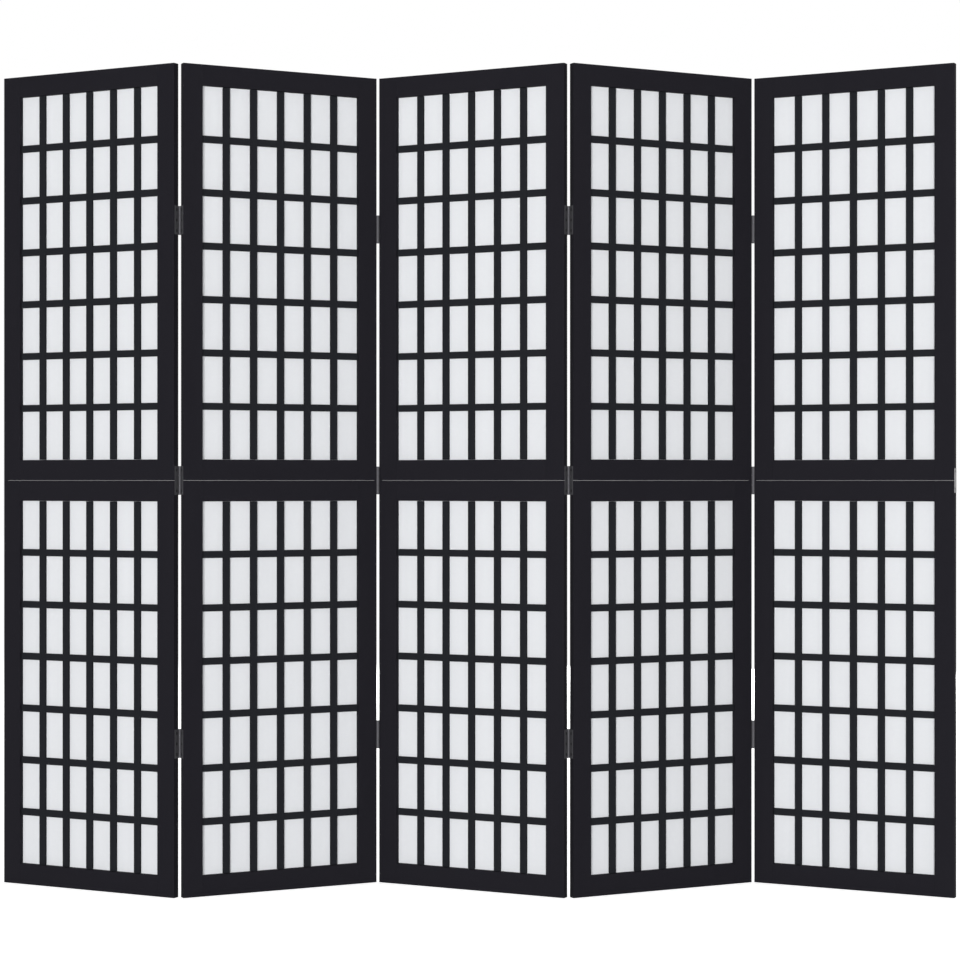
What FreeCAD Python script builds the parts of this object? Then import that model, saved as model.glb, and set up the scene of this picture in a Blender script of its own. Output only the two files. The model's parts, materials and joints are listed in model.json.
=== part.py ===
import FreeCAD, Part
import math
import os

# A shoji folding screen: five tall panels hinged edge to edge, standing in a zigzag.
#
# Lengths are in millimetres and angles in degrees. +X runs along the screen to the
# right, +Y runs away from its front and +Z is up. The origin is on the floor under
# the middle of panel 3. Panels are numbered from the left.
#
# A panel is two half frames, one standing on the other. Each half frame holds a
# lattice, a sheet of fabric behind the lattice, and four beads that keep the sheet
# in a rebate at the back. Three butt hinges join each pair of panels, and the middle
# one crosses the seam between the halves. A flat plate does the same at the two ends
# of the screen, where there is no hinge.

# --- The panels ---------------------------------------------------------------------
PANEL_COUNT = 5
PANEL_WIDTH = 418.0
SCREEN_HEIGHT = 1650.0
FRAME_THICKNESS = 15.0
STILE_WIDTH = 40.0
RAIL_WIDTH = 41.5
SEAM_GAP = 0.2          # the slit of light between the lower and the upper half frame
FOLD_TILT = 26.8        # the angle of every panel to the line of the screen

# --- The lattice, which lies behind the front of the frame -----------------------------
UPRIGHT_COUNT = 5
UPRIGHT_PITCH = 58.2
CROSSBAR_COUNT = 6
CROSSBAR_PITCH = 106.1
BAR_WIDTH = 14.0
BAR_DEPTH = 6.0
BAR_SETBACK = 5.0       # from the front of the frame to the front of the bars
BAR_END_GAP = 0.5       # each bar stops this far from the frame

# --- The fabric and its beads, in the rebate at the back -------------------------------
REBATE_WIDTH = 6.0
FABRIC_THICKNESS = 0.5
REBATE_CLEARANCE = 0.2  # between the wall of the rebate and what lies in it

# --- The hinges: two knuckles on the left leaf, one between them on the right leaf -----
HINGE_HEIGHT = 57.0
UPPER_HINGE_RISE = 515.0  # from the seam to the middle of the hinge above it
LOWER_HINGE_DROP = 521.0  # from the seam to the middle of the hinge below it
LEAF_THICKNESS = 0.8
LEAF_MARGIN = 2.0       # from the leaf to the arris that lies away from the pin
LEAF_GAP = 0.4          # between the two leaves when the fold is flat
PIN_RADIUS = 2.0
PIN_CLEARANCE = 0.1     # between the corners of the pin and those of its bore
KNUCKLE_WALL = 1.6
KNUCKLE_GAP = 0.3       # between the knuckles of the two leaves
FACE_CLEARANCE = 0.1    # from the knuckles to the plane of the panel's face
PLATE_CLEARANCE = 0.3   # from the other leaf's knuckle to the flat of this leaf
BARREL_SIDES = 16       # pins, bores and knuckles have this many flats, to keep them light

# --- The plates over the seam at the two ends of the screen ----------------------------
END_PLATE_HEIGHT = 48.4
END_PLATE_THICKNESS = 0.8
END_PLATE_MARGIN = 1.0  # from the plate to the arrises beside it

# --- Worked out from the sizes above ---------------------------------------------------
HALF_HEIGHT = (SCREEN_HEIGHT - SEAM_GAP) / 2
WINDOW_WIDTH = PANEL_WIDTH - 2 * STILE_WIDTH
WINDOW_HEIGHT = HALF_HEIGHT - 2 * RAIL_WIDTH
FABRIC_FRONT = BAR_SETBACK + BAR_DEPTH
BEAD_FRONT = FABRIC_FRONT + FABRIC_THICKNESS
BEAD_WIDTH = REBATE_WIDTH - REBATE_CLEARANCE
BORE_RADIUS = PIN_RADIUS + PIN_CLEARANCE
BARREL_RADIUS = BORE_RADIUS + KNUCKLE_WALL
PIN_TO_FACE = BARREL_RADIUS + FACE_CLEARANCE
PIN_TO_EDGE = LEAF_THICKNESS + LEAF_GAP / 2
KNUCKLE_HEIGHT = (HINGE_HEIGHT - 2 * KNUCKLE_GAP) / 3
MIDDLE_PANEL = PANEL_COUNT // 2
Z_AXIS = FreeCAD.Vector(0, 0, 1)


def block(x, y, z):
    """A rectangular solid from its (low, high) pair on each axis."""
    corner = FreeCAD.Vector(x[0], y[0], z[0])
    return Part.makeBox(x[1] - x[0], y[1] - y[0], z[1] - z[0], corner)


def rod(radius, z):
    """A many-sided rod about the z axis, with its corners on the radius."""
    angles = [2 * math.pi * (side + 0.5) / BARREL_SIDES for side in range(BARREL_SIDES)]
    corners = [FreeCAD.Vector(radius * math.cos(a), radius * math.sin(a), z[0]) for a in angles]
    outline = Part.Face(Part.makePolygon(corners + corners[:1]))
    return outline.extrude((z[1] - z[0]) * Z_AXIS)


def centred(count, pitch, middle):
    """Evenly pitched places about a middle."""
    return [middle + (number - (count - 1) / 2) * pitch for number in range(count)]


# --- Pieces of a half panel, each in the half panel's own axes --------------------------
# x runs along the panel from its left edge, y into it from its front face, and z up
# from the foot of the half frame.

def half_frame():
    """Two stiles with two rails between them, rebated at the back for the fabric."""
    depth = (0, FRAME_THICKNESS)
    height = (0, HALF_HEIGHT)
    between = (STILE_WIDTH, PANEL_WIDTH - STILE_WIDTH)
    members = [
        block((0, STILE_WIDTH), depth, height),
        block((PANEL_WIDTH - STILE_WIDTH, PANEL_WIDTH), depth, height),
        block(between, depth, (0, RAIL_WIDTH)),
        block(between, depth, (HALF_HEIGHT - RAIL_WIDTH, HALF_HEIGHT)),
    ]
    rebate = block(
        (STILE_WIDTH - REBATE_WIDTH, PANEL_WIDTH - STILE_WIDTH + REBATE_WIDTH),
        (FABRIC_FRONT, FRAME_THICKNESS),
        (RAIL_WIDTH - REBATE_WIDTH, HALF_HEIGHT - RAIL_WIDTH + REBATE_WIDTH),
    )
    return Part.makeCompound([member.cut(rebate) for member in members])


def lattice():
    """Uprights and crossbars halved into each other, flush at the front and the back."""
    depth = (BAR_SETBACK, BAR_SETBACK + BAR_DEPTH)
    half_bar = BAR_WIDTH / 2
    across = (STILE_WIDTH + BAR_END_GAP, PANEL_WIDTH - STILE_WIDTH - BAR_END_GAP)
    along = (RAIL_WIDTH + BAR_END_GAP, HALF_HEIGHT - RAIL_WIDTH - BAR_END_GAP)
    uprights = [
        block((x - half_bar, x + half_bar), depth, along)
        for x in centred(UPRIGHT_COUNT, UPRIGHT_PITCH, PANEL_WIDTH / 2)
    ]
    crossbars = [
        block(across, depth, (z - half_bar, z + half_bar))
        for z in centred(CROSSBAR_COUNT, CROSSBAR_PITCH, HALF_HEIGHT / 2)
    ]
    return uprights[0].multiFuse(uprights[1:] + crossbars).removeSplitter()


def fabric():
    """The sheet, flat against the back of the lattice and the floor of the rebate."""
    reach = REBATE_WIDTH - REBATE_CLEARANCE
    return block(
        (STILE_WIDTH - reach, PANEL_WIDTH - STILE_WIDTH + reach),
        (FABRIC_FRONT, BEAD_FRONT),
        (RAIL_WIDTH - reach, HALF_HEIGHT - RAIL_WIDTH + reach),
    )


def beading():
    """Four strips in the rebate behind the edges of the fabric, flush with the back."""
    depth = (BEAD_FRONT, FRAME_THICKNESS)
    left = STILE_WIDTH
    right = PANEL_WIDTH - STILE_WIDTH
    low = RAIL_WIDTH
    high = HALF_HEIGHT - RAIL_WIDTH
    height = (low - BEAD_WIDTH, high + BEAD_WIDTH)
    return Part.makeCompound([
        block((left - BEAD_WIDTH, left), depth, height),
        block((right, right + BEAD_WIDTH), depth, height),
        block((left, right), depth, (low - BEAD_WIDTH, low)),
        block((left, right), depth, (high, high + BEAD_WIDTH)),
    ])


# --- Pieces of a hinge, about the axis of its pin ---------------------------------------
# x runs from the pin into the leaf's own panel, y from the pin to the panel's far face,
# and z up from the middle of the hinge.

def knuckle_spans():
    """The heights of the three knuckles, from the lowest to the highest."""
    low = -HINGE_HEIGHT / 2
    step = KNUCKLE_HEIGHT + KNUCKLE_GAP
    return [(low + number * step, low + number * step + KNUCKLE_HEIGHT) for number in range(3)]


def leaf(spans):
    """A flat leaf with a neck and a bored knuckle at each of the given heights."""
    across = (PIN_TO_EDGE - LEAF_THICKNESS, PIN_TO_EDGE)
    whole_height = (-HINGE_HEIGHT / 2, HINGE_HEIGHT / 2)
    flat_start = BARREL_RADIUS + PLATE_CLEARANCE
    flat_end = PIN_TO_FACE + FRAME_THICKNESS - LEAF_MARGIN
    flat = block(across, (flat_start, flat_end), whole_height)
    necks = [block(across, (0, flat_start), span) for span in spans]
    barrels = [rod(BARREL_RADIUS, span) for span in spans]
    return flat.multiFuse(necks + barrels).cut(rod(BORE_RADIUS, whole_height)).removeSplitter()


def pin():
    """The pin through all three knuckles."""
    return rod(PIN_RADIUS, (-HINGE_HEIGHT / 2, HINGE_HEIGHT / 2))


def end_plate():
    """The plate on an outer edge, from x = 0 outwards, centred on the seam."""
    return block(
        (0, END_PLATE_THICKNESS),
        (END_PLATE_MARGIN, FRAME_THICKNESS - END_PLATE_MARGIN),
        (-END_PLATE_HEIGHT / 2, END_PLATE_HEIGHT / 2),
    )


# --- Where the panels and hinges stand --------------------------------------------------

def panel_turn(panel):
    """How a panel is turned: the middle one and every second one from it lean one way."""
    leans_forward = (panel - MIDDLE_PANEL) % 2 == 0
    return FreeCAD.Rotation(Z_AXIS, -FOLD_TILT if leans_forward else FOLD_TILT)


def pin_depth(fold):
    """The pin's y in its panels' axes: behind them at a near fold, before them at a far one."""
    near_fold = (fold - MIDDLE_PANEL) % 2 == 0
    return FRAME_THICKNESS + PIN_TO_FACE if near_fold else -PIN_TO_FACE


def pin_place(fold, edge):
    """The pin of the fold after a panel of the same number, in the axes of one of its panels."""
    x = PANEL_WIDTH + PIN_TO_EDGE if edge == "right" else -PIN_TO_EDGE
    return FreeCAD.Vector(x, pin_depth(fold), 0)


def panel_placements():
    """Every panel's placement, working outwards from the middle panel along the pins."""
    middle_turn = panel_turn(MIDDLE_PANEL)
    middle = FreeCAD.Vector(PANEL_WIDTH / 2, FRAME_THICKNESS / 2, 0)
    placements = {MIDDLE_PANEL: FreeCAD.Placement(-middle_turn.multVec(middle), middle_turn)}
    for panel in range(MIDDLE_PANEL + 1, PANEL_COUNT):
        fold = panel - 1
        turn = panel_turn(panel)
        shared = placements[fold].multVec(pin_place(fold, "right"))
        base = shared - turn.multVec(pin_place(fold, "left"))
        placements[panel] = FreeCAD.Placement(base, turn)
    for panel in range(MIDDLE_PANEL - 1, -1, -1):
        turn = panel_turn(panel)
        shared = placements[panel + 1].multVec(pin_place(panel, "left"))
        base = shared - turn.multVec(pin_place(panel, "right"))
        placements[panel] = FreeCAD.Placement(base, turn)
    return placements


def hinge_heights():
    """The middles of the three hinges of a fold: one below the seam, one on it, one above."""
    seam = SCREEN_HEIGHT / 2
    return [seam - LOWER_HINGE_DROP, seam, seam + UPPER_HINGE_RISE]


def leaf_turn(fold, edge):
    """Half turns that bring the leaf's x into its panel and its y to the far face."""
    turn = FreeCAD.Rotation()
    if edge == "right":
        turn = FreeCAD.Rotation(FreeCAD.Vector(0, 1, 0), 180)
    if pin_depth(fold) > 0:
        turn = FreeCAD.Rotation(FreeCAD.Vector(1, 0, 0), 180) * turn
    return turn


# --- Writing the pieces -----------------------------------------------------------------

def placed(shape, *placements):
    """A copy of the shape under a chain of placements, the outermost first."""
    whole = FreeCAD.Placement()
    for placement in placements:
        whole = whole * placement
    copy = shape.copy()
    copy.Placement = whole
    return copy


def write(name, solids):
    """One file for one sub-part."""
    Part.makeCompound(solids).exportStep(f"parts/{name}.step")


def write_half_panels(panels):
    """The half frame, lattice, fabric and beading of each half of each panel."""
    pieces = {
        "frame": half_frame(),
        "lattice": lattice(),
        "fabric": fabric(),
        "beading": beading(),
    }
    halves = {"lower": 0, "upper": HALF_HEIGHT + SEAM_GAP}
    for panel, panel_place in panels.items():
        for half, foot in halves.items():
            lift = FreeCAD.Placement(FreeCAD.Vector(0, 0, foot), FreeCAD.Rotation())
            for kind, shape in pieces.items():
                write(f"panel_{panel + 1}_{half}_{kind}", [placed(shape, panel_place, lift)])


def write_hinges(panels):
    """The leaves and the pins of each fold, three hinges to a node."""
    low_knuckle, middle_knuckle, high_knuckle = knuckle_spans()
    pieces = {
        ("left", "leaves"): leaf([low_knuckle, high_knuckle]),
        ("left", "pins"): pin(),
        ("right", "leaves"): leaf([middle_knuckle]),
    }
    for fold in range(PANEL_COUNT - 1):
        edges = {"left": (fold, "right"), "right": (fold + 1, "left")}
        for (side, kind), shape in pieces.items():
            panel, edge = edges[side]
            turn = leaf_turn(fold, edge)
            seats = [
                FreeCAD.Placement(pin_place(fold, edge) + height * Z_AXIS, turn)
                for height in hinge_heights()
            ]
            solids = [placed(shape, panels[panel], seat) for seat in seats]
            write(f"fold_{fold + 1}_{fold + 2}_{side}_{kind}", solids)


def write_end_plates(panels):
    """A plate on the outer edge of the first panel and one on that of the last."""
    seam = SCREEN_HEIGHT / 2
    outward = FreeCAD.Placement(FreeCAD.Vector(PANEL_WIDTH, 0, seam), FreeCAD.Rotation())
    inward = FreeCAD.Placement(
        FreeCAD.Vector(-END_PLATE_THICKNESS, 0, seam),
        FreeCAD.Rotation(),
    )
    last = PANEL_COUNT - 1
    write("panel_1_end_plate", [placed(end_plate(), panels[0], inward)])
    write(f"panel_{last + 1}_end_plate", [placed(end_plate(), panels[last], outward)])


def main():
    os.makedirs("parts", exist_ok=True)
    panels = panel_placements()
    write_half_panels(panels)
    write_hinges(panels)
    write_end_plates(panels)


main()
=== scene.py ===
# %% [markdown]
# # A shoji folding screen
#
# Five tall black panels stand in a zigzag. Each panel is two half frames, one on the
# other, and each half frame holds a lattice with white fabric behind it. The packed
# model gives every piece its place and size. This script dresses it: wood with eased
# edges, real halved joints in the lattice, stretched fabric, rolled hinges and screws.

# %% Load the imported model
import json
import math

import bpy
import numpy as np
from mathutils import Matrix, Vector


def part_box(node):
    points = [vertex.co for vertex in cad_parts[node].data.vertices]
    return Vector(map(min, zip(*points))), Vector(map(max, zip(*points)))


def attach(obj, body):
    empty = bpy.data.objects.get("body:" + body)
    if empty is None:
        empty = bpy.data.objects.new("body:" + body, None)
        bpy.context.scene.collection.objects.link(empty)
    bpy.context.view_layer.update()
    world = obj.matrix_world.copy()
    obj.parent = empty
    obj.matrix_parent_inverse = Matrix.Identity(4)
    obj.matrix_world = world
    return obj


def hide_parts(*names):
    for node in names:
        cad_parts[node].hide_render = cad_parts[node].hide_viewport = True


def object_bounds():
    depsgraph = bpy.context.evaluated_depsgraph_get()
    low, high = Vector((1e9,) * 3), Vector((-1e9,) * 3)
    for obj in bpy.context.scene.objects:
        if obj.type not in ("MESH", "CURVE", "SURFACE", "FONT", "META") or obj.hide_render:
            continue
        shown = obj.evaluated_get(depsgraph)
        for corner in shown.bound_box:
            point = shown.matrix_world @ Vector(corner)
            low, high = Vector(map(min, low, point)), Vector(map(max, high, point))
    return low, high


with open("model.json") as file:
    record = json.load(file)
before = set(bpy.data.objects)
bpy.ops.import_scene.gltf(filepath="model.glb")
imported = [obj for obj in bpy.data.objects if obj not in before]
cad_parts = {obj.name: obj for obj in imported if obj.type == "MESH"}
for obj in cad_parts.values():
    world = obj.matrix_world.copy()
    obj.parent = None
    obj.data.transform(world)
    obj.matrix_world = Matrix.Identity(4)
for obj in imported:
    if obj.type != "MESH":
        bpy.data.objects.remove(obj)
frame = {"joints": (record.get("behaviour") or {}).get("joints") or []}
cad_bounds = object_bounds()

MM = 0.001

# %% [markdown]
# ## The camera
#
# The photograph was taken straight on, from half the height of the screen: the seams of
# all five panels lie on one level line, and the near and far folds spread evenly above
# and below it. A long lens a few metres away gives the same gentle perspective.

# %% Camera
CAMERA_PLACE = (17.1 * MM, -4826.6 * MM, 825.9 * MM)
CAMERA_LENS = 89.75
CAMERA_SENSOR = 36.0

camera_data = bpy.data.cameras.new("camera")
camera_data.lens = CAMERA_LENS
camera_data.sensor_width = CAMERA_SENSOR
camera = bpy.data.objects.new("camera", camera_data)
camera.location = CAMERA_PLACE
camera.rotation_euler = (math.pi / 2, 0, 0)
bpy.context.scene.collection.objects.link(camera)
bpy.context.scene.camera = camera
print("camera", round(math.dist(CAMERA_PLACE, (0, 0, CAMERA_PLACE[2])), 3), "m away")

# %% [markdown]
# ## Small helpers for node trees
#
# The light, the floor and the materials all need a sum or two on sockets, and the light
# and the floor both ask whether a ray comes straight from the camera or through a mirror
# or a pane.

# %% Helpers: sums on sockets, and rays that see the backdrop
DIRECT_RAYS = ("Is Camera Ray", "Is Glossy Ray", "Is Transmission Ray")


def arithmetic(tree, operation, first, second=0.0):
    """The result of one sum on two sockets or numbers."""
    node = tree.nodes.new("ShaderNodeMath")
    node.operation = operation
    for value, socket in zip((first, second), node.inputs):
        if isinstance(value, float):
            socket.default_value = value
        else:
            tree.links.new(value, socket)
    return node.outputs[0]


def any_of(tree, sockets):
    """One value that is 1 where any of the sockets is 1: their running maximum."""
    result = sockets[0]
    for other in sockets[1:]:
        result = arithmetic(tree, "MAXIMUM", result, other)
    return result


def seen_directly(tree):
    """One for rays from the camera, from gloss and through glass, and nought for the rest."""
    path = tree.nodes.new("ShaderNodeLightPath")
    return any_of(tree, [path.outputs[name] for name in DIRECT_RAYS])


print("rays that see the backdrop:", len(DIRECT_RAYS))

# %% [markdown]
# ## Light, floor and background
#
# The picture is a catalogue shot: even light from large soft sources, and white all
# round. The world lights the screen from everywhere at a plain level. Two broad lamps
# stand far behind the camera, low over the floor, so the fabric is as bright at the foot
# as at the top, and what shade the bars throw on it lies out of sight behind them. The
# left one gives the left-facing panels their slight lift, and a third lamp does the same
# work behind. Only rays that come straight from the camera, or through gloss or glass,
# see the world as pure white.

# %% World
WORLD_LEVEL = 0.26
WHITE_LEVEL = 1.0

bpy.context.scene.view_settings.view_transform = "Standard"
world = bpy.data.worlds.new("studio")
bpy.context.scene.world = world
world.use_nodes = True
world_tree = world.node_tree
world_tree.nodes.clear()
blend = world_tree.nodes.new("ShaderNodeMixShader")
for level, shader_in in ((WORLD_LEVEL, blend.inputs[1]), (WHITE_LEVEL, blend.inputs[2])):
    background = world_tree.nodes.new("ShaderNodeBackground")
    background.inputs["Color"].default_value = (1.0, 1.0, 1.0, 1.0)
    background.inputs["Strength"].default_value = level
    world_tree.links.new(background.outputs["Background"], shader_in)
world_tree.links.new(seen_directly(world_tree), blend.inputs["Fac"])
world_out = world_tree.nodes.new("ShaderNodeOutputWorld")
world_tree.links.new(blend.outputs["Shader"], world_out.inputs["Surface"])
print("world level", WORLD_LEVEL)

# %% Lamps
AIM = np.array([0.0, 0.0, 0.82])
LAMPS = {
    "key": {"place": (-2.3, -11.8, 0.8), "size": 1.6, "power": 628.0},
    "fill": {"place": (0.3, -12.0, 0.8), "size": 1.6, "power": 486.0},
    "rear": {"place": (1.2, 5.6, 1.1), "size": 2.0, "power": 245.0},
}


def soft_lamp(name, place, size, power):
    """A square area lamp at a place, turned to face the middle of the screen."""
    data = bpy.data.lights.new(name, "AREA")
    data.shape = "SQUARE"
    data.size = size
    data.energy = power
    lamp = bpy.data.objects.new(name, data)
    lamp.location = place
    way = AIM - np.array(place)
    flat = math.hypot(way[0], way[1])
    lamp.rotation_euler = (math.atan2(flat, -way[2]), 0, math.atan2(-way[0], way[1]))
    lamp.visible_camera = False
    bpy.context.scene.collection.objects.link(lamp)


for name, lamp in LAMPS.items():
    soft_lamp(name, **lamp)
print("lamps:", list(LAMPS))

# %% [markdown]
# The floor is a pale sheet that takes the screen's soft shadow. A little light of its
# own, seen only by the camera and by gloss, lifts it to the white of the background.

# %% Floor
FLOOR_HALF = 30.0
FLOOR_ALBEDO = 0.86
FLOOR_LIFT = 0.82


def plain_mesh(name, points, faces):
    """An object at the origin from arrays of points and of faces."""
    mesh = bpy.data.meshes.new(name)
    mesh.from_pydata(np.asarray(points, dtype=float).tolist(), [], [list(f) for f in faces])
    mesh.validate()
    mesh.update()
    piece = bpy.data.objects.new(name, mesh)
    bpy.context.scene.collection.objects.link(piece)
    return piece


floor_corners = np.array([[-1, -1, 0], [1, -1, 0], [1, 1, 0], [-1, 1, 0]]) * FLOOR_HALF
floor = plain_mesh("floor", floor_corners, [(0, 1, 2, 3)])
floor_paint = bpy.data.materials.new("floor paper")
floor_paint.use_nodes = True
floor_tree = floor_paint.node_tree
paper = floor_tree.nodes["Principled BSDF"]
paper.inputs["Base Color"].default_value = (FLOOR_ALBEDO, FLOOR_ALBEDO, FLOOR_ALBEDO, 1)
paper.inputs["Roughness"].default_value = 1.0
paper.inputs["Specular IOR Level"].default_value = 0.0
paper.inputs["Emission Color"].default_value = (1, 1, 1, 1)
lift = arithmetic(floor_tree, "MULTIPLY", seen_directly(floor_tree), FLOOR_LIFT)
floor_tree.links.new(lift, paper.inputs["Emission Strength"])
floor.data.materials.append(floor_paint)
print("floor", 2 * FLOOR_HALF, "m across")

# %% [markdown]
# ## Shared surface patterns
#
# Painted wood is never quite even: the grain underneath lifts the paint into long low
# ridges, and the sheen wanders a little. Every timber stores, at each corner, where that
# corner lies along, across and through its own length, so that the grain runs along
# stiles and along rails alike. One node group turns that place into a grain value.

# %% Node group: grain under paint
GRAIN_PLACE = "grain_place"
RIDGE_STRETCH = (0.04, 1.0, 1.0)
RIDGES_PER_METRE = 900.0
PATCH_STRETCH = (0.25, 1.0, 1.0)
PATCHES_PER_METRE = 22.0
EVEN = (1.0, 1.0, 1.0)


def group_with(name, inputs, outputs):
    """A shader node group with float or vector sockets, and its two end nodes."""
    group = bpy.data.node_groups.new(name, "ShaderNodeTree")
    for socket, kind in inputs:
        group.interface.new_socket(socket, in_out="INPUT", socket_type=kind)
    for socket, kind in outputs:
        group.interface.new_socket(socket, in_out="OUTPUT", socket_type=kind)
    return group, group.nodes.new("NodeGroupInput"), group.nodes.new("NodeGroupOutput")


def stretched_noise(tree, place, stretch, scale, detail=3.0):
    """Noise at a scale per metre, drawn out along the axes where the stretch is low."""
    mapping = tree.nodes.new("ShaderNodeMapping")
    mapping.inputs["Scale"].default_value = stretch
    noise = tree.nodes.new("ShaderNodeTexNoise")
    noise.inputs["Scale"].default_value = scale
    noise.inputs["Detail"].default_value = detail
    tree.links.new(place, mapping.inputs["Vector"])
    tree.links.new(mapping.outputs["Vector"], noise.inputs["Vector"])
    return noise.outputs["Fac"]


def grain_group():
    """Fine ridges along x, and slow patches, from a place in metres."""
    group, ends_in, ends_out = group_with(
        "painted grain",
        [("Place", "NodeSocketVector")],
        [("Ridges", "NodeSocketFloat"), ("Patches", "NodeSocketFloat")],
    )
    place = ends_in.outputs["Place"]
    ridges = stretched_noise(group, place, RIDGE_STRETCH, RIDGES_PER_METRE)
    patches = stretched_noise(group, place, PATCH_STRETCH, PATCHES_PER_METRE, detail=2.0)
    group.links.new(ridges, ends_out.inputs["Ridges"])
    group.links.new(patches, ends_out.inputs["Patches"])
    return group


GRAIN = grain_group()
print("group:", GRAIN.name)

# %% Helpers for materials
def between(tree, factor, low, high):
    """A value or a colour that runs from low to high as the factor runs from 0 to 1."""
    mix = tree.nodes.new("ShaderNodeMix")
    is_colour = not np.isscalar(low)
    mix.data_type = "RGBA" if is_colour else "FLOAT"
    kind = "RGBA" if is_colour else "VALUE"
    ends = [s for s in mix.inputs if s.enabled and s.type == kind and s.name in "AB"]
    ends[0].default_value = (*low, 1.0) if is_colour else low
    ends[1].default_value = (*high, 1.0) if is_colour else high
    factor_in = next(s for s in mix.inputs if s.enabled and s.name == "Factor")
    tree.links.new(factor, factor_in)
    return next(s for s in mix.outputs if s.enabled)


def bump(tree, height, strength, distance, bsdf):
    """Lets a height tilt the shader's normal."""
    node = tree.nodes.new("ShaderNodeBump")
    node.inputs["Strength"].default_value = strength
    node.inputs["Distance"].default_value = distance
    tree.links.new(height, node.inputs["Height"])
    tree.links.new(node.outputs["Normal"], bsdf.inputs["Normal"])


def new_material(name, **constants):
    """A material with one Principled shader and the given constants on its sockets."""
    material = bpy.data.materials.new(name)
    material.use_nodes = True
    bsdf = material.node_tree.nodes["Principled BSDF"]
    for socket, value in constants.items():
        bsdf.inputs[socket.replace("_", " ")].default_value = value
    return material, material.node_tree, bsdf


# %% [markdown]
# ## Black paint
#
# The frames and the lattice are softwood under a smooth black paint with a low sheen.
# The colour barely moves, so nearly all of the finish is in the roughness and in a very
# low bump along the grain. The lattice bars are a shade cooler and flatter.

# %% Black paint for the frame and for the lattice
PAINT_SHEEN = 0.02
RIDGE_STRENGTH = 0.35


def black_paint(name, colours, roughness, ridge_height):
    """Paint whose colour and sheen wander with the patches, and ridges along the grain."""
    material, tree, bsdf = new_material(name, Specular_IOR_Level=PAINT_SHEEN)
    place = tree.nodes.new("ShaderNodeAttribute")
    place.attribute_name = GRAIN_PLACE
    grain = tree.nodes.new("ShaderNodeGroup")
    grain.node_tree = GRAIN
    tree.links.new(place.outputs["Vector"], grain.inputs["Place"])
    patches = grain.outputs["Patches"]
    tree.links.new(between(tree, patches, *colours), bsdf.inputs["Base Color"])
    tree.links.new(between(tree, patches, *roughness), bsdf.inputs["Roughness"])
    bump(tree, grain.outputs["Ridges"], RIDGE_STRENGTH, ridge_height, bsdf)
    return material


FRAME_PAINT = black_paint(
    "frame paint",
    colours=((0.0142, 0.0135, 0.0177), (0.0168, 0.0161, 0.0203)),
    roughness=(0.56, 0.70),
    ridge_height=0.12 * MM,
)
LATTICE_PAINT = black_paint(
    "lattice paint",
    colours=((0.0155, 0.0165, 0.0199), (0.0181, 0.0191, 0.0225)),
    roughness=(0.58, 0.72),
    ridge_height=0.10 * MM,
)
print("paints:", FRAME_PAINT.name, "and", LATTICE_PAINT.name)

# %% [markdown]
# ## Metal
#
# The hinges are steel in a thin black finish, through which the metal still shines: their
# rolled knuckles are the lightest thing on the dark frame. The screws in them are a dull
# black, and show as dark dots. The plates at the two ends are zinc-plated steel, which is
# grey with a fine even cloudiness. All three read the object's own coordinates.

# %% Hinge steel, black screws and plated steel
METAL_CLOUDS_PER_METRE = 420.0
METAL_BUMP_STRENGTH = 0.15
METAL_BUMP_HEIGHT = 0.04 * MM


def metal_material(name, colours, roughness, metallic, sheen):
    """A metal finish whose colour and roughness follow one fine cloudy noise."""
    material, tree, bsdf = new_material(name, Metallic=metallic, Specular_IOR_Level=sheen)
    place = tree.nodes.new("ShaderNodeTexCoord").outputs["Object"]
    cloud = stretched_noise(tree, place, EVEN, METAL_CLOUDS_PER_METRE)
    tree.links.new(between(tree, cloud, *colours), bsdf.inputs["Base Color"])
    tree.links.new(between(tree, cloud, *roughness), bsdf.inputs["Roughness"])
    bump(tree, cloud, METAL_BUMP_STRENGTH, METAL_BUMP_HEIGHT, bsdf)
    return material


HINGE_STEEL = metal_material(
    "blackened hinge steel",
    colours=((0.082, 0.081, 0.089), (0.106, 0.105, 0.114)),
    roughness=(0.60, 0.74),
    metallic=0.8,
    sheen=0.3,
)
SCREW_BLACK = metal_material(
    "dull black screws",
    colours=((0.010, 0.010, 0.011), (0.016, 0.016, 0.018)),
    roughness=(0.45, 0.60),
    metallic=0.0,
    sheen=0.15,
)
PLATING = metal_material(
    "zinc plating",
    colours=((0.19, 0.19, 0.195), (0.27, 0.27, 0.275)),
    roughness=(0.34, 0.50),
    metallic=1.0,
    sheen=0.5,
)
print("metals:", [m.name for m in (HINGE_STEEL, SCREW_BLACK, PLATING)])

# %% [markdown]
# ## Working in a panel's own axes
#
# Every piece is first worked out for one half panel lying square to the axes: x from its
# left edge, y from its front face, z from its foot. It is then turned to its panel's
# angle and moved so that the middle of the half frame lands on the middle of the packed
# node. Odd panels lean one way and even panels the other.

# %% Sizes, and the way into a panel's place
PANEL_WIDTH = 418.0 * MM
THICKNESS = 15.0 * MM
STILE = 40.0 * MM
RAIL = 41.5 * MM
TILT = math.radians(26.8)
PANELS = range(1, 6)
HALVES = ("lower", "upper")

sample_low, sample_high = (np.array(c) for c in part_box("panel_3_lower_frame"))
HALF_HEIGHT = float(sample_high[2] - sample_low[2])


def panel_turn(panel):
    """The turn about z of a panel: minus the tilt for odd panels, plus it for even ones."""
    angle = -TILT if panel % 2 else TILT
    c, s = math.cos(angle), math.sin(angle)
    return np.array([[c, -s, 0.0], [s, c, 0.0], [0.0, 0.0, 1.0]])


def in_panel(points, panel, half):
    """Points of a half panel's own axes, moved to where that half panel stands."""
    low, high = (np.array(c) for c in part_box(f"panel_{panel}_{half}_frame"))
    middle = np.array([PANEL_WIDTH / 2, THICKNESS / 2, HALF_HEIGHT / 2])
    return (np.asarray(points) - middle) @ panel_turn(panel).T + (low + high) / 2


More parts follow.
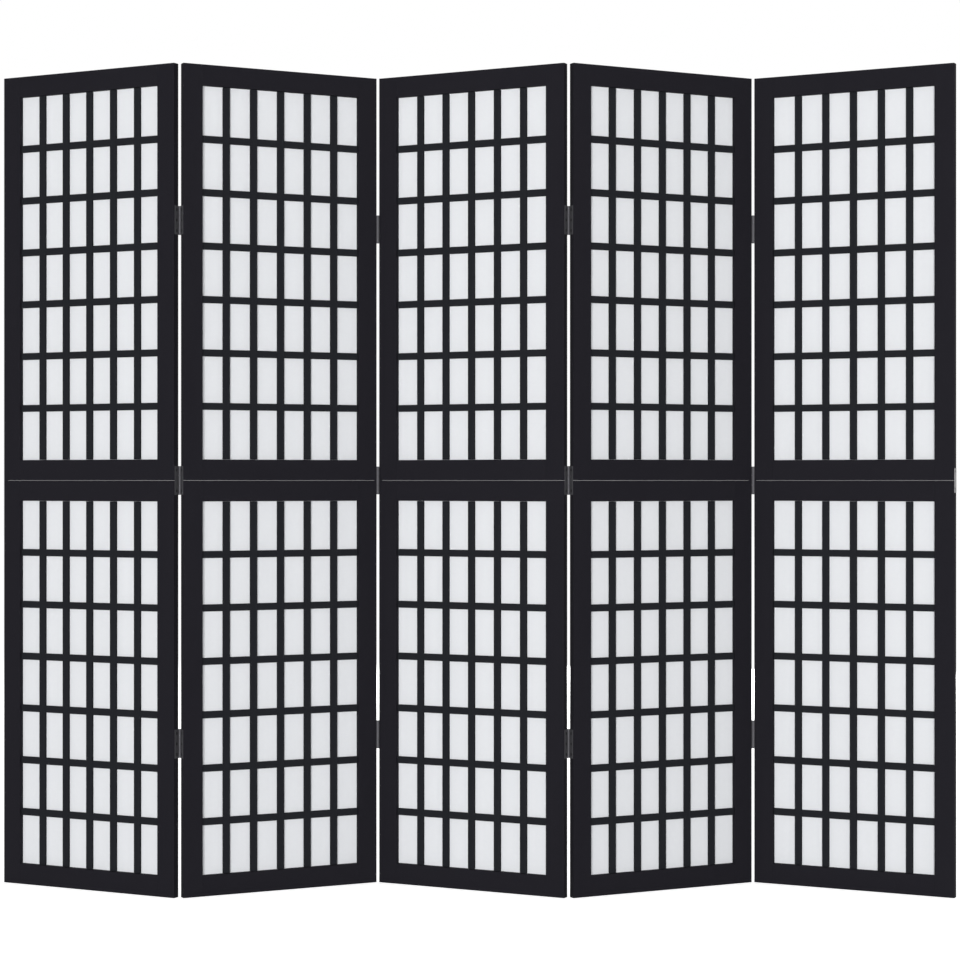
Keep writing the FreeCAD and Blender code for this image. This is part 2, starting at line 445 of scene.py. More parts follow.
expected = PANEL_WIDTH * math.cos(TILT) + THICKNESS * math.sin(TILT)
print("half height", round(HALF_HEIGHT, 4), "span", expected, sample_high[0] - sample_low[0])

# %% [markdown]
# ## Square timber as a grid of cells
#
# Joinery is all right angles: a stile with a rebate, a bar with notches. Such a piece is
# a box divided by a few planes, with some of the cells taken out. The surface is every
# cell wall that has wood on one side and air on the other, which whole-array comparisons
# find at once. All corners meet corners, so a bevel can ease every edge afterwards.

# %% Helper: the surface of a grid of cells
def cell_surface(xs, ys, zs, wood):
    """Points and quads round the cells that are wood.

    xs, ys and zs are the planes, and wood[i, j, k] says whether a cell is kept. Along
    each axis the cells are compared with their neighbours, and where they differ a quad
    is laid, turned to face the air.
    """
    counts = (len(xs), len(ys), len(zs))
    number = np.arange(np.prod(counts)).reshape(counts)
    quads = []
    for axis in range(3):
        padding = [(1, 1) if a == axis else (0, 0) for a in range(3)]
        padded = np.pad(wood, padding)
        before = np.take(padded, range(0, counts[axis]), axis)
        after = np.take(padded, range(1, counts[axis] + 1), axis)
        second, third = (axis + 1) % 3, (axis + 2) % 3
        for facing_up in (True, False):
            walls = (before & ~after) if facing_up else (after & ~before)
            at = np.argwhere(walls)
            corners = []
            for step_2, step_3 in ((0, 0), (1, 0), (1, 1), (0, 1)):
                corner = at.copy()
                corner[:, second] += step_2
                corner[:, third] += step_3
                corners.append(number[tuple(corner.T)])
            if not facing_up:
                corners.reverse()
            quads.append(np.stack(corners, axis=1))
    quads = np.concatenate(quads)
    grid = np.stack(np.meshgrid(xs, ys, zs, indexing="ij"), axis=-1).reshape(-1, 3)
    used, quads = np.unique(quads, return_inverse=True)
    return grid[used], quads.reshape(-1, 4)


test_points, test_quads = cell_surface([0, 1], [0, 1], [0, 1], np.ones((1, 1, 1), bool))
print("one cell:", len(test_points), "corners and", len(test_quads), "faces")

# %% Helpers: a piece from several timbers
EASE_SEGMENTS = 2
SHARP_EDGE = math.radians(40)
GRAIN_SHIFT = 50.0


def joined(parts):
    """One pair of arrays, of points and of quads, from several pairs."""
    starts = np.cumsum([0] + [len(points) for points, _ in parts[:-1]])
    points = np.concatenate([points for points, _ in parts])
    quads = np.concatenate([faces + start for (_, faces), start in zip(parts, starts)])
    return points, quads


def shade_smooth(piece):
    """Lets every face shade smoothly into the next."""
    for polygon in piece.data.polygons:
        polygon.use_smooth = True


def ease_edges(piece, width):
    """Rounds every sharp edge by the same small width."""
    bevel = piece.modifiers.new("eased edges", "BEVEL")
    bevel.width = width
    bevel.segments = EASE_SEGMENTS
    bevel.limit_method = "ANGLE"
    bevel.angle_limit = SHARP_EDGE
    bevel.harden_normals = True
    shade_smooth(piece)


def store_places(piece, name, places):
    """Keeps a place for each point of a piece, as an attribute that materials can read."""
    attribute = piece.data.attributes.new(name, "FLOAT_VECTOR", "POINT")
    attribute.data.foreach_set("vector", places.astype(np.float32).ravel())


def timber_piece(name, timbers, panel, half, paint, ease):
    """A piece from (points, quads, long axis) timbers, with a grain place at each corner.

    The grain place is the corner's own place with the long axis first, moved along by a
    random step for each timber, so that no two timbers share a pattern.
    """
    dice = np.random.default_rng(sum(ord(letter) for letter in name))
    places = []
    for points, _, axis in timbers:
        order = [axis] + [a for a in range(3) if a != axis]
        places.append(points[:, order] + dice.uniform(0.0, GRAIN_SHIFT, 3))
    points, quads = joined([(points, faces) for points, faces, _ in timbers])
    piece = plain_mesh(name, in_panel(points, panel, half), quads)
    store_places(piece, GRAIN_PLACE, np.concatenate(places))
    piece.data.materials.append(paint)
    ease_edges(piece, ease)
    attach(piece, f"panel_{panel}")
    return piece


print("grain is stored as", GRAIN_PLACE)

# %% [markdown]
# ## Half frames
#
# A half frame is two upright stiles with two rails between them. The joints show only as
# a hairline where the eased edges meet. At the back a rebate is taken out of all four
# for the fabric. It stops short of the ends of the stiles, so they stay whole there.

# %% Half frames
REBATE = 6.0 * MM
FABRIC_FRONT = 11.0 * MM
JOINT_HAIRLINE = 0.03 * MM
FRAME_EASE = 0.2 * MM


def half_frame_timbers():
    """The stiles and rails as cells, each with its rebate cells taken out."""
    left, right = STILE, PANEL_WIDTH - STILE
    ys = [0.0, FABRIC_FRONT, THICKNESS]
    low, high = RAIL - REBATE, HALF_HEIGHT - RAIL + REBATE
    uprights = [0.0, low, high, HALF_HEIGHT]
    between_stiles = [left + JOINT_HAIRLINE, right - JOINT_HAIRLINE]
    left_stile = np.ones((2, 2, 3), bool)
    left_stile[1, 1, 1] = False
    right_stile = left_stile[::-1]
    rail_low = np.ones((1, 2, 2), bool)
    rail_low[0, 1, 1] = False
    rail_high = rail_low[:, :, ::-1]
    return [
        (*cell_surface([0.0, left - REBATE, left], ys, uprights, left_stile), 2),
        (*cell_surface([right, right + REBATE, PANEL_WIDTH], ys, uprights, right_stile), 2),
        (*cell_surface(between_stiles, ys, [0.0, low, RAIL], rail_low), 0),
        (*cell_surface(between_stiles, ys, [HALF_HEIGHT - RAIL, high, HALF_HEIGHT], rail_high), 0),
    ]


for panel in PANELS:
    for half in HALVES:
        name = f"half_frame_{panel}_{half}"
        piece = timber_piece(name, half_frame_timbers(), panel, half, FRAME_PAINT, FRAME_EASE)
        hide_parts(f"panel_{panel}_{half}_frame")
print("half frames:", len(PANELS) * len(HALVES))

# %% [markdown]
# ## The lattice
#
# Real lattice bars are halved into each other. Each upright keeps its front half at a
# crossing and each crossbar its back half, so both faces come out flush. The uprights
# run unbroken over the front, as they do in the photograph. Every bar stops half a
# millimetre short of the frame, which shows as a fine light line at its end.

# %% Lattice bars
BAR_FRONT = 5.0 * MM
BAR_BACK = 11.0 * MM
BAR_WIDTH = 14.0 * MM
BAR_END_GAP = 0.5 * MM
HALVING_FIT = 0.05 * MM
BAR_EASE = 0.2 * MM
UPRIGHT_PITCH = 58.2 * MM
CROSSBAR_PITCH = 106.1 * MM
UPRIGHTS = PANEL_WIDTH / 2 + UPRIGHT_PITCH * np.arange(-2, 3)
CROSSBARS = HALF_HEIGHT / 2 + CROSSBAR_PITCH * (np.arange(6) - 2.5)


def notched_planes(start, end, crossings):
    """The planes along a bar: its two ends, and both sides of the notch at each crossing."""
    reach = BAR_WIDTH / 2 + HALVING_FIT
    notches = np.stack([crossings - reach, crossings + reach], axis=1).ravel()
    return np.concatenate([[start], notches, [end]])


def lattice_timbers():
    """Uprights with every second cell gone at the back, crossbars with it gone in front."""
    middle = (BAR_FRONT + BAR_BACK) / 2
    low, high = RAIL + BAR_END_GAP, HALF_HEIGHT - RAIL - BAR_END_GAP
    left, right = STILE + BAR_END_GAP, PANEL_WIDTH - STILE - BAR_END_GAP
    zs = notched_planes(low, high, CROSSBARS)
    xs = notched_planes(left, right, UPRIGHTS)
    half = BAR_WIDTH / 2
    upright = np.ones((1, 2, len(zs) - 1), bool)
    upright[:, 1, 1::2] = False
    crossbar = np.ones((len(xs) - 1, 2, 1), bool)
    crossbar[1::2, 0, :] = False
    front_ys = [BAR_FRONT, middle - HALVING_FIT / 2, BAR_BACK]
    back_ys = [BAR_FRONT, middle + HALVING_FIT / 2, BAR_BACK]
    bars = [(*cell_surface([x - half, x + half], front_ys, zs, upright), 2) for x in UPRIGHTS]
    bars += [(*cell_surface(xs, back_ys, [z - half, z + half], crossbar), 0) for z in CROSSBARS]
    return bars


for panel in PANELS:
    for half in HALVES:
        name = f"lattice_{panel}_{half}"
        piece = timber_piece(name, lattice_timbers(), panel, half, LATTICE_PAINT, BAR_EASE)
        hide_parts(f"panel_{panel}_{half}_lattice")
print("lattice bars in each half:", len(UPRIGHTS), "+", len(CROSSBARS))

# %% [markdown]
# ## Beads at the back
#
# Four thin strips lie in the rebate behind the edges of the fabric, flush with the back
# of the frame, and keep the fabric flat.

# %% Beads
BEAD_FRONT = 11.5 * MM
BEAD_WIDTH = 5.8 * MM
BEAD_EASE = 0.25 * MM


def bead_timbers():
    """Two full-height strips, and two short ones between them."""
    left, right = STILE, PANEL_WIDTH - STILE
    low, high = RAIL, HALF_HEIGHT - RAIL
    ys = [BEAD_FRONT, THICKNESS]
    whole = np.ones((1, 1, 1), bool)
    tall = [low - BEAD_WIDTH, high + BEAD_WIDTH]
    short = [left + JOINT_HAIRLINE, right - JOINT_HAIRLINE]
    return [
        (*cell_surface([left - BEAD_WIDTH, left], ys, tall, whole), 2),
        (*cell_surface([right, right + BEAD_WIDTH], ys, tall, whole), 2),
        (*cell_surface(short, ys, [low - BEAD_WIDTH, low], whole), 0),
        (*cell_surface(short, ys, [high, high + BEAD_WIDTH], whole), 0),
    ]


for panel in PANELS:
    for half in HALVES:
        name = f"beading_{panel}_{half}"
        piece = timber_piece(name, bead_timbers(), panel, half, FRAME_PAINT, BEAD_EASE)
        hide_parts(f"panel_{panel}_{half}_beading")
print("beads are", BEAD_WIDTH / MM, "mm wide")

# %% [markdown]
# ## White fabric
#
# The fabric is a thin white non-woven cloth, pressed from loose fibres. It has no weave:
# close up it is a fine cloudy felt with a few longer fibres, and from a step away only
# faint upright streaks show where it was rolled. It is matte, and a little cool. From
# behind, the black bars that it lies on show as soft grey bands painted into its colour:
# partly the real greying of thin cloth over black, and partly painted shade of the bars,
# standing in for light through the cloth. So each sheet stores its own place on the half
# panel, and a node group finds the nearest bar there.

# %% Node group: bars behind the cloth, the mask of their painted shade
SHEET_PLACE = "sheet_place"
BAND_EDGE = 1.8 * MM


def near_a_bar(tree, place, bars, pitch):
    """One within half a bar's width of the nearest bar, falling softly to nought.

    The nearest bar's number is the place counted in pitches from the first bar, rounded
    and held between nought and the last bar's number.
    """
    from_first = arithmetic(tree, "SUBTRACT", place, float(bars[0]))
    count = arithmetic(tree, "MULTIPLY", from_first, 1 / pitch)
    nearest = arithmetic(tree, "MAXIMUM", arithmetic(tree, "ROUND", count), 0.0)
    nearest = arithmetic(tree, "MINIMUM", nearest, float(len(bars) - 1))
    away = arithmetic(tree, "ABSOLUTE", arithmetic(tree, "SUBTRACT", count, nearest))
    soft = tree.nodes.new("ShaderNodeMapRange")
    soft.interpolation_type = "SMOOTHSTEP"
    soft.inputs["From Min"].default_value = (BAR_WIDTH / 2 - BAND_EDGE) / pitch
    soft.inputs["From Max"].default_value = BAR_WIDTH / 2 / pitch
    soft.inputs["To Min"].default_value = 1.0
    soft.inputs["To Max"].default_value = 0.0
    tree.links.new(away, soft.inputs["Value"])
    return soft.outputs["Result"]


def bar_shade_group():
    """Where an upright or a crossbar lies behind the cloth, from a place in metres: the mask of
    the bars' painted shade.
    """
    group, ends_in, ends_out = group_with(
        "bars behind cloth", [("Place", "NodeSocketVector")], [("Bars", "NodeSocketFloat")]
    )
    split = group.nodes.new("ShaderNodeSeparateXYZ")
    group.links.new(ends_in.outputs["Place"], split.inputs["Vector"])
    across = near_a_bar(group, split.outputs["X"], UPRIGHTS, UPRIGHT_PITCH)
    along = near_a_bar(group, split.outputs["Z"], CROSSBARS, CROSSBAR_PITCH)
    group.links.new(any_of(group, [across, along]), ends_out.inputs["Bars"])
    return group


BARS_AND_THEIR_PAINTED_SHADE = bar_shade_group()
print("group:", BARS_AND_THEIR_PAINTED_SHADE.name)

# %% Fabric
# How far the cloth's colour is darkened over a bar: partly the real greying of thin cloth over
# black, partly painted shade of the bar.
SHOWN_THROUGH_AND_PAINTED_SHADE = 0.72
CLOTH_COLOURS = ((0.772, 0.786, 0.812), (0.828, 0.842, 0.868))
CLOUDS_PER_METRE = 160.0
STREAK_STRETCH = (1.0, 1.0, 0.03)
STREAKS_PER_METRE = 70.0
FIBRE_STRETCH = (1.0, 1.0, 0.35)
FIBRES_PER_METRE = 1400.0
FIBRE_STRENGTH = 0.25
FIBRE_HEIGHT = 0.10 * MM


def fabric_material():
    """Cloudy fibres and faint upright streaks, and a greyer cloth where bars lie behind: partly
    real greying over black, partly painted shade.
    """
    material, tree, bsdf = new_material(
        "pressed white cloth", Roughness=0.92, Specular_IOR_Level=0.12
    )
    place = tree.nodes.new("ShaderNodeTexCoord").outputs["Object"]
    clouds = stretched_noise(tree, place, EVEN, CLOUDS_PER_METRE, detail=4.0)
    streaks = stretched_noise(tree, place, STREAK_STRETCH, STREAKS_PER_METRE, detail=2.0)
    fibres = stretched_noise(tree, place, FIBRE_STRETCH, FIBRES_PER_METRE, detail=2.0)
    both = arithmetic(tree, "ADD", clouds, streaks)
    free = between(tree, arithmetic(tree, "MULTIPLY", both, 0.5), *CLOTH_COLOURS)
    sheet_place = tree.nodes.new("ShaderNodeAttribute")
    sheet_place.attribute_name = SHEET_PLACE
    bars = tree.nodes.new("ShaderNodeGroup")
    bars.node_tree = BARS_AND_THEIR_PAINTED_SHADE
    tree.links.new(sheet_place.outputs["Vector"], bars.inputs["Place"])
    # Painted shade: the cloth's colour is scaled down where a bar lies behind it.
    kept = tree.nodes.new("ShaderNodeVectorMath")
    kept.operation = "SCALE"
    tree.links.new(free, kept.inputs["Vector"])
    tree.links.new(between(tree, bars.outputs["Bars"], 1.0, SHOWN_THROUGH_AND_PAINTED_SHADE), kept.inputs["Scale"])
    tree.links.new(kept.outputs["Vector"], bsdf.inputs["Base Color"])
    bump(tree, fibres, FIBRE_STRENGTH, FIBRE_HEIGHT, bsdf)
    return material


CLOTH = fabric_material()
print("fabric:", CLOTH.name)

# %% [markdown]
# ## Fabric sheets
#
# One sheet is stretched behind each lattice. Stretched cloth still gives a little: it
# rests on the backs of the bars and bows back by half a millimetre in the middle of
# each pane, and a few long soft ripples run over it. A grid with a depth for every point
# says all that, and Solidify gives the cloth its thickness.

# %% Sheets
SHEET_REACH = 5.8 * MM
SHEET_FRONT = 11.12 * MM
SHEET_THICKNESS = 0.22 * MM
PANE_BOW = 0.5 * MM
RIM = 20.0 * MM
RIPPLE = 0.12 * MM
RIPPLE_WAVES = (34.0, 61.0)
RIPPLE_SLANT = 6.0
SHEET_COLUMNS = 73
SHEET_ROWS = 141


def pane_bow(x, z):
    """One in the middle of a pane and nought on the bars: a product of squared sines."""
    across = np.sin(np.pi * (x - UPRIGHTS[0]) / UPRIGHT_PITCH) ** 2
    along = np.sin(np.pi * (z - CROSSBARS[0]) / CROSSBAR_PITCH) ** 2
    return across * along


def inside_window(x, z):
    """Rises smoothly from nought at the edge of the window to one inside its rim."""
    edge = np.minimum.reduce([
        x - STILE, PANEL_WIDTH - STILE - x, z - RAIL, HALF_HEIGHT - RAIL - z,
    ])
    share = np.clip(edge / RIM, 0.0, 1.0)
    return share * share * (3.0 - 2.0 * share)


def fabric_sheet(name, panel, half):
    """A grid over the rebate whose depth is the pane bow plus two slanting ripples."""
    dice = np.random.default_rng(sum(ord(letter) for letter in name))
    xs = np.linspace(STILE - SHEET_REACH, PANEL_WIDTH - STILE + SHEET_REACH, SHEET_COLUMNS)
    zs = np.linspace(RAIL - SHEET_REACH, HALF_HEIGHT - RAIL + SHEET_REACH, SHEET_ROWS)
    x, z = np.meshgrid(xs, zs, indexing="ij")
    phase = dice.uniform(0.0, 2.0 * np.pi, 2)
    slant = dice.uniform(-RIPPLE_SLANT, RIPPLE_SLANT, 2)
    ripples = 1.0
    for wave, lean, start in zip(RIPPLE_WAVES, slant, phase):
        ripples = ripples + 0.5 * np.sin(wave * x + lean * z + start)
    depth = SHEET_FRONT + inside_window(x, z) * (PANE_BOW * pane_bow(x, z) + RIPPLE * ripples)
    points = np.stack([x, depth, z], axis=-1).reshape(-1, 3)
    number = np.arange(x.size).reshape(x.shape)
    corners = [number[:-1, :-1], number[1:, :-1], number[1:, 1:], number[:-1, 1:]]
    quads = np.stack([c.ravel() for c in corners], axis=1)
    piece = plain_mesh(name, in_panel(points, panel, half), quads)
    store_places(piece, SHEET_PLACE, points)
    shade_smooth(piece)
    solid = piece.modifiers.new("thickness", "SOLIDIFY")
    solid.thickness = SHEET_THICKNESS
    solid.offset = -1.0
    piece.data.materials.append(CLOTH)
    flat = (xs[-1] - xs[0], zs[-1] - zs[0])
    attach(piece, f"panel_{panel}")
    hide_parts(f"panel_{panel}_{half}_fabric")
    return flat


for panel in PANELS:
    for half in HALVES:
        sheet_size = fabric_sheet(f"fabric_{panel}_{half}", panel, half)
print("each sheet is", [round(side / MM, 1) for side in sheet_size], "mm")

# %% [markdown]
# ## Turned shapes
#
# Knuckles, pins and screw heads are turned on a lathe, as it were: an outline of radius
# and height is carried once round an axis. The same helper closes the ends with a fan
# when the outline starts or ends on the axis, and closes on itself for a ring.

# %% Helper: a turned surface
TURNED_SIDES = 32


def turned(outline, sides=TURNED_SIDES):
    """Points and faces of an outline of (radius, height) pairs, carried round z.

    Point (a, i) is the i-th pair at angle a: (r cos a, r sin a, h). An outline that ends
    on the axis is a solid, and any other is a ring whose last pair joins its first.
    """
    outline = np.asarray(outline, dtype=float)
    on_axis = outline[0, 0] == 0.0
    wall = outline[1:-1] if on_axis else outline
    angles = 2.0 * np.pi * np.arange(sides) / sides
    radius, height = wall[:, 0], wall[:, 1]
    points = np.stack([
        np.outer(np.cos(angles), radius),
        np.outer(np.sin(angles), radius),
        np.tile(height, (sides, 1)),
    ], axis=-1).reshape(-1, 3)
    number = np.arange(sides * len(wall)).reshape(sides, len(wall))
    following = np.roll(number, -1, axis=0)
    if not on_axis:
        number = np.concatenate([number, number[:, :1]], axis=1)
        following = np.concatenate([following, following[:, :1]], axis=1)
    corners = [number[:, :-1], following[:, :-1], following[:, 1:], number[:, 1:]]
    faces = np.stack([c.ravel() for c in corners], axis=1).tolist()
    if on_axis:
        foot, crown = len(points), len(points) + 1
        tips = np.array([[0.0, 0.0, outline[0, 1]], [0.0, 0.0, outline[-1, 1]]])
        points = np.concatenate([points, tips])
        faces += [[foot, b, a] for a, b in zip(number[:, 0], following[:, 0])]
        faces += [[crown, a, b] for a, b in zip(number[:, -1], following[:, -1])]
    return points, faces


def many_meshes(name, parts):
    """One object from several (points, faces) pairs."""
    points, faces = [], []
    for part_points, part_faces in parts:
        start = sum(len(p) for p in points)
        points.append(np.asarray(part_points))
        faces += [[int(corner) + start for corner in face] for face in part_faces]
    return plain_mesh(name, np.concatenate(points), faces)


square_ring = turned([(1, 0), (2, 0), (2, 1), (1, 1)])
print("a square ring has", len(square_ring[1]), "faces")

# %% [markdown]
# ## Hinges
#
# Three black butt hinges join each pair of panels. Their leaves lie on the edges of the
# panels, and the pin stands clear of the faces: behind the screen at the near folds,
# before it at the far ones. In the hinge's own axes x runs from the pin into the leaf's
# panel, y from the pin to the far face, z up. The left leaf has the two outer knuckles
# and carries the pin, and the right leaf has the middle one.

# %% Hinge sizes, and the way into a hinge's place
HINGE_HEIGHT = 57.0 * MM
UPPER_HINGE_RISE = 515.0 * MM
LOWER_HINGE_DROP = 521.0 * MM
LEAF = 0.8 * MM
PIN_TO_EDGE = 1.0 * MM
PIN_TO_FACE = 3.8 * MM
PIN_RADIUS = 2.0 * MM
BORE_RADIUS = 2.06 * MM
KNUCKLE_RADIUS = 3.68 * MM
KNUCKLE_GAP = 0.3 * MM
FLAT_START = 4.0 * MM
FLAT_MARGIN = 2.0 * MM
FLAT_END = PIN_TO_FACE + THICKNESS - FLAT_MARGIN
KNUCKLE = (HINGE_HEIGHT - 2 * KNUCKLE_GAP) / 3
SEAM = cad_bounds[1][2] / 2
HINGE_HEIGHTS = [SEAM - LOWER_HINGE_DROP, SEAM, SEAM + UPPER_HINGE_RISE]


def in_hinge(points, fold, side, height):
    """Points of a hinge's own axes, moved to a height on a fold.

    A leaf on a panel's right edge has its x turned over, and one whose pin stands behind
    has its y turned over. The result stands on the pin's axis, which the joint gives.
    """
    panel = fold if side == "left" else fold + 1
    pin_behind = fold % 2 == 1
    sign = np.array([-1.0 if side == "left" else 1.0, -1.0 if pin_behind else 1.0, 1.0])
    joint = next(j for j in frame["joints"] if j["name"] == f"fold_{fold}_{fold + 1}")
    axis = np.array([joint["pos_m"][0], joint["pos_m"][1], height])
    return (np.asarray(points) * sign) @ panel_turn(panel).T + axis


def turned_over(faces):
    """The same faces, pointing the other way."""
    return [list(face)[::-1] for face in faces]


def outwards(faces, fold, side):
    """Turns faces over where the hinge's axes are mirrored, so they still point out."""
    mirrored = (side == "left") != (fold % 2 == 1)
    return turned_over(faces) if mirrored else faces


def leaf_body(fold, side):
    """The panel that a leaf is screwed to."""
    return f"panel_{fold if side == 'left' else fold + 1}"


print("hinges at", [round(height, 3) for height in HINGE_HEIGHTS])

# %% Leaves with their knuckles
KNUCKLE_EASE = 0.25 * MM
LEAF_EASE = 0.2 * MM
NECK_START = 2.6 * MM
FOLDS = range(1, 5)


def knuckle_span(number):
    """The lowest and highest point of knuckle 0, 1 or 2."""
    low = -HINGE_HEIGHT / 2 + number * (KNUCKLE + KNUCKLE_GAP)
    return low, low + KNUCKLE


def knuckle(low, high):
    """A bored ring with its outer edges eased."""
    ease = KNUCKLE_EASE
    return turned([
        (BORE_RADIUS, low),
        (KNUCKLE_RADIUS - ease, low),
        (KNUCKLE_RADIUS, low + ease),
        (KNUCKLE_RADIUS, high - ease),
        (KNUCKLE_RADIUS - ease, high),
        (BORE_RADIUS, high),
    ])


def leaf_parts(numbers):
    """The flat of a leaf, and a neck and a knuckle for each knuckle number."""
    across = [PIN_TO_EDGE - LEAF, PIN_TO_EDGE]
    planes = [-HINGE_HEIGHT / 2, knuckle_span(0)[1], knuckle_span(1)[0]]
    planes += [knuckle_span(1)[1], knuckle_span(2)[0], HINGE_HEIGHT / 2]
    metal = np.ones((1, 2, 5), bool)
    metal[:, 0, :] = False
    for number in numbers:
        metal[:, 0, 2 * number] = True
    sheet = cell_surface(across, [NECK_START, FLAT_START, FLAT_END], planes, metal)
    return [sheet] + [knuckle(*knuckle_span(number)) for number in numbers]


for fold in FOLDS:
    for side, numbers in (("left", (0, 2)), ("right", (1,))):
        parts = []
        for height in HINGE_HEIGHTS:
            for points, faces in leaf_parts(numbers):
                moved = in_hinge(points, fold, side, height)
                parts.append((moved, outwards(faces, fold, side)))
        piece = many_meshes(f"hinge_{fold}_{side}_leaves", parts)
        piece.data.materials.append(HINGE_STEEL)
        ease_edges(piece, LEAF_EASE)
        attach(piece, leaf_body(fold, side))
        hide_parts(f"fold_{fold}_{fold + 1}_{side}_leaves")
print("leaves:", 2 * len(FOLDS) * len(HINGE_HEIGHTS))

# %% Pins
PIN_DOME = 0.5 * MM
DOME_POINTS = 5


def pin_outline():
    """A rod whose two ends are low domes: an arc of the pin's radius, flattened."""
    bend = np.linspace(0.0, np.pi / 2, DOME_POINTS)
    radius = PIN_RADIUS * np.cos(bend)
    rise = HINGE_HEIGHT / 2 + PIN_DOME * (np.sin(bend) - 1.0)
    top = np.stack([radius, rise], axis=1)
    top[-1, 0] = 0.0
    bottom = top[::-1] * np.array([1.0, -1.0])
    return np.concatenate([bottom, top])


for fold in FOLDS:
    points, faces = turned(pin_outline())
    parts = [
        (in_hinge(points, fold, "left", height), outwards(faces, fold, "left"))
        for height in HINGE_HEIGHTS
    ]
    piece = many_meshes(f"hinge_{fold}_pins", parts)
    piece.data.materials.append(HINGE_STEEL)
    for polygon in piece.data.polygons:
        polygon.use_smooth = len(polygon.vertices) == 4
    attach(piece, f"panel_{fold}")
    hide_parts(f"fold_{fold}_{fold + 1}_left_pins")
print("pins:", len(FOLDS) * len(HINGE_HEIGHTS))

# %% [markdown]
# ## Screws
#
# Three countersunk screws hold each leaf, and only the outer two at the seam, where the
# middle one would miss the wood. A screw head is a disc on a polar grid: its height falls
# away at the rim, and dips in a cross where the driver goes.

# %% Screw heads
SCREW_PITCH = 20.6 * MM
SCREW_RADIUS = 2.8 * MM
SCREW_PROUD = 0.12 * MM
CROSS_DEPTH = 0.9 * MM
CROSS_REACH = 0.62
CROSS_WIDTH = 0.30
HEAD_RINGS = 7
HEAD_SIDES = 32
LEAF_STEPS = (-1, 0, 1)
SEAM_STEPS = (-1, 1)


def screw_head(radius, rim, crown):
    """A head facing +z: points (r, a) on a polar grid, with their height from a formula.

    The height goes from rim to crown as one minus the square of r, less the depth of the
    cross where r is inside the cross's reach and the point is close to the x or y line.
    """
    share = np.linspace(1.0, 0.0, HEAD_RINGS + 1)[:-1]
    angle = 2.0 * np.pi * np.arange(HEAD_SIDES) / HEAD_SIDES
    r, a = np.meshgrid(share, angle, indexing="ij")
    off_line = np.minimum(np.abs(r * np.cos(a)), np.abs(r * np.sin(a)))
    in_cross = (r < CROSS_REACH) & (off_line < CROSS_WIDTH / 2)
    height = rim + (crown - rim) * (1.0 - r ** 2) - CROSS_DEPTH * in_cross
    points = np.stack([radius * r * np.cos(a), radius * r * np.sin(a), height], axis=-1)
    middle = np.array([[0.0, 0.0, crown - CROSS_DEPTH]])
    foot_ring = points[0] * np.array([1.0, 1.0, 0.0])
    points = np.concatenate([foot_ring, points.reshape(-1, 3), middle])
    number = np.arange((HEAD_RINGS + 1) * HEAD_SIDES).reshape(HEAD_RINGS + 1, HEAD_SIDES)
    following = np.roll(number, -1, axis=1)
    corners = [number[:-1], following[:-1], following[1:], number[1:]]
    faces = np.stack([c.ravel() for c in corners], axis=1).tolist()
    last = len(points) - 1
    faces += [[last, a, b] for a, b in zip(number[-1], following[-1])]
    faces.append(number[0][::-1].tolist())
    return points, faces


head_points, head_faces = screw_head(SCREW_RADIUS, 0.0, SCREW_PROUD)
print("a screw head has", len(head_faces), "faces")

# %% Screws in the leaves
def onto_leaf(points, screw_z):
    """A head that faced +z now faces out of the leaf, which is -x, at its place in it."""
    x = PIN_TO_EDGE - LEAF - points[:, 2]
    y = (FLAT_START + FLAT_END) / 2 + points[:, 1]
    return np.stack([x, y, screw_z + points[:, 0]], axis=1)


for fold in FOLDS:
    for side in ("left", "right"):
        parts = []
        for height in HINGE_HEIGHTS:
            for step in SEAM_STEPS if height == SEAM else LEAF_STEPS:
                points = onto_leaf(head_points, step * SCREW_PITCH)
                moved = in_hinge(points, fold, side, height)
                parts.append((moved, outwards(head_faces, fold, side)))
        piece = many_meshes(f"hinge_{fold}_{side}_screws", parts)
        piece.data.materials.append(SCREW_BLACK)
        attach(piece, leaf_body(fold, side))
print("screws in each side of a fold:", 2 * len(LEAF_STEPS) + len(SEAM_STEPS))

# %% [markdown]
# ## End plates
#
# The two outermost edges have no hinge to hold the halves together, so each has a small
# zinc-plated plate across the seam, with one round-headed screw in each half.

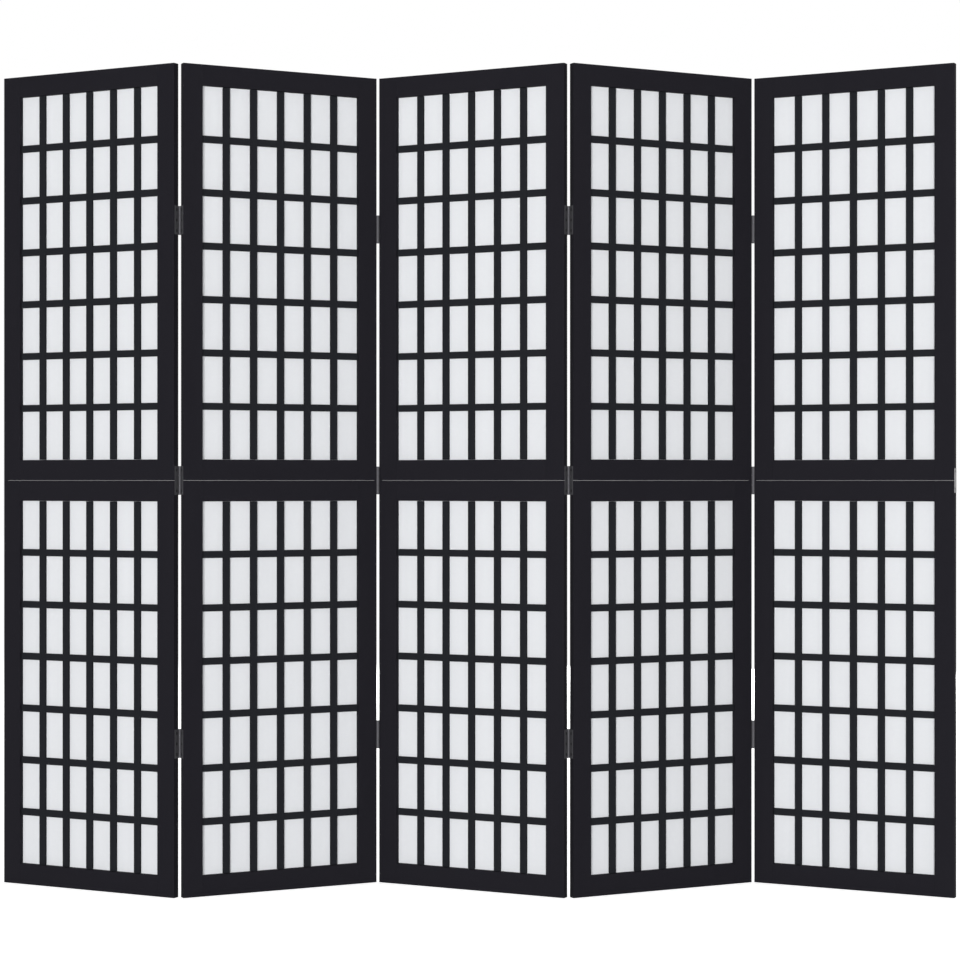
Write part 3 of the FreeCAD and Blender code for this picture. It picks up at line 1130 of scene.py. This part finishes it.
# %% End plates and their screws
PLATE_HEIGHT = 48.4 * MM
PLATE_THICKNESS = 0.8 * MM
PLATE_MARGIN = 1.0 * MM
PLATE_SCREW_STEP = 17.8 * MM
PLATE_SCREW_RADIUS = 3.4 * MM
PLATE_SCREW_CROWN = 1.5 * MM
PLATE_SCREW_RIM = 0.35 * MM
PLATE_EASE = 0.3 * MM

plate_screw_points, plate_screw_faces = screw_head(
    PLATE_SCREW_RADIUS, PLATE_SCREW_RIM, PLATE_SCREW_CROWN
)


def on_outer_edge(points, panel):
    """Points with x outwards from the edge and z from the seam, on panel 1's or 5's edge."""
    points = np.array(points)
    if panel == 1:
        points[:, 0] = -points[:, 0]
    else:
        points[:, 0] += PANEL_WIDTH
    points[:, 2] += SEAM
    low, _ = (np.array(c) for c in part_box(f"panel_{panel}_lower_frame"))
    points[:, 2] -= low[2]
    return in_panel(points, panel, "lower")


def plate_faces(faces, panel):
    """Panel 1's plate is mirrored, so its faces are turned over."""
    return turned_over(faces) if panel == 1 else faces


for panel in (1, 5):
    plate_points, plate_quads = cell_surface(
        [0.0, PLATE_THICKNESS],
        [PLATE_MARGIN, THICKNESS - PLATE_MARGIN],
        [-PLATE_HEIGHT / 2, PLATE_HEIGHT / 2],
        np.ones((1, 1, 1), bool),
    )
    piece = plain_mesh(
        f"end_plate_{panel}", on_outer_edge(plate_points, panel), plate_faces(plate_quads, panel)
    )
    piece.data.materials.append(PLATING)
    ease_edges(piece, PLATE_EASE)
    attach(piece, f"panel_{panel}")
    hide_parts(f"panel_{panel}_end_plate")
    parts = []
    for step in SEAM_STEPS:
        x = PLATE_THICKNESS + plate_screw_points[:, 2]
        y = THICKNESS / 2 + plate_screw_points[:, 0]
        z = step * PLATE_SCREW_STEP + plate_screw_points[:, 1]
        points = on_outer_edge(np.stack([x, y, z], axis=1), panel)
        parts.append((points, plate_faces(plate_screw_faces, panel)))
    piece = many_meshes(f"end_plate_screws_{panel}", parts)
    piece.data.materials.append(PLATING)
    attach(piece, f"panel_{panel}")
print("end plates on panels 1 and 5")
